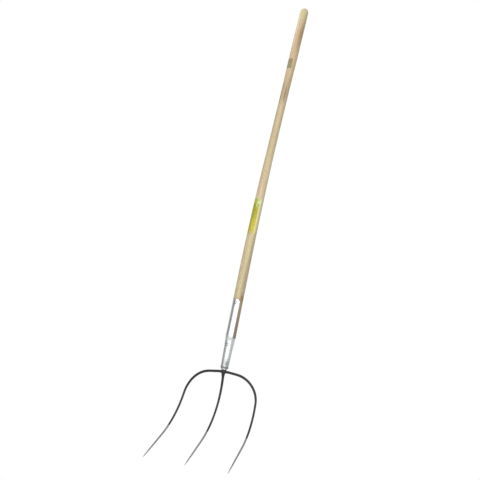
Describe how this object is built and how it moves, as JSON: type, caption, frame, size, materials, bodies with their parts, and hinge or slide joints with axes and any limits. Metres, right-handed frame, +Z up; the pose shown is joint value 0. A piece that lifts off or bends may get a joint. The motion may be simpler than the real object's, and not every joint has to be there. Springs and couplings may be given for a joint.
{
  "type": "three-tine hay fork",
  "caption": "Long-handled hay fork: bent wooden handle in a strapped steel socket, with slender tines that curve forward to bare points.",
  "frame": {"origin": "on the handle's axis, in the middle of the straight round grip near its top end", "axes": "+Z up along the grip, away from the tines; X across the tines; the tines curve forward to -Y"},
  "size_m": [0.2926, 0.1174, 1.5403],
  "materials": {
    "ash_wood": "sanded ash under thin clear lacquer",
    "polished_steel": "polished bright",
    "black_paint": "semi-gloss black, ground bright at the points",
    "rivet_steel": "dull bright",
    "yellow_label": "glossy printed film, no lettering",
    "dark_mark": "matt olive transfer, no lettering"
  },
  "bodies": {
    "root": {"handle": "ash_wood", "socket": "polished_steel", "front_strap": "polished_steel", "back_strap": "polished_steel", "tang": "polished_steel", "crown_boss": "black_paint", "outer_tine_bow": "black_paint", "centre_tine": "black_paint", "top_rivet": "rivet_steel", "lower_rivet": "rivet_steel", "rivet_burrs": "rivet_steel", "handle_label": "yellow_label", "grip_mark": "dark_mark"}
  },
  "joints": []
}
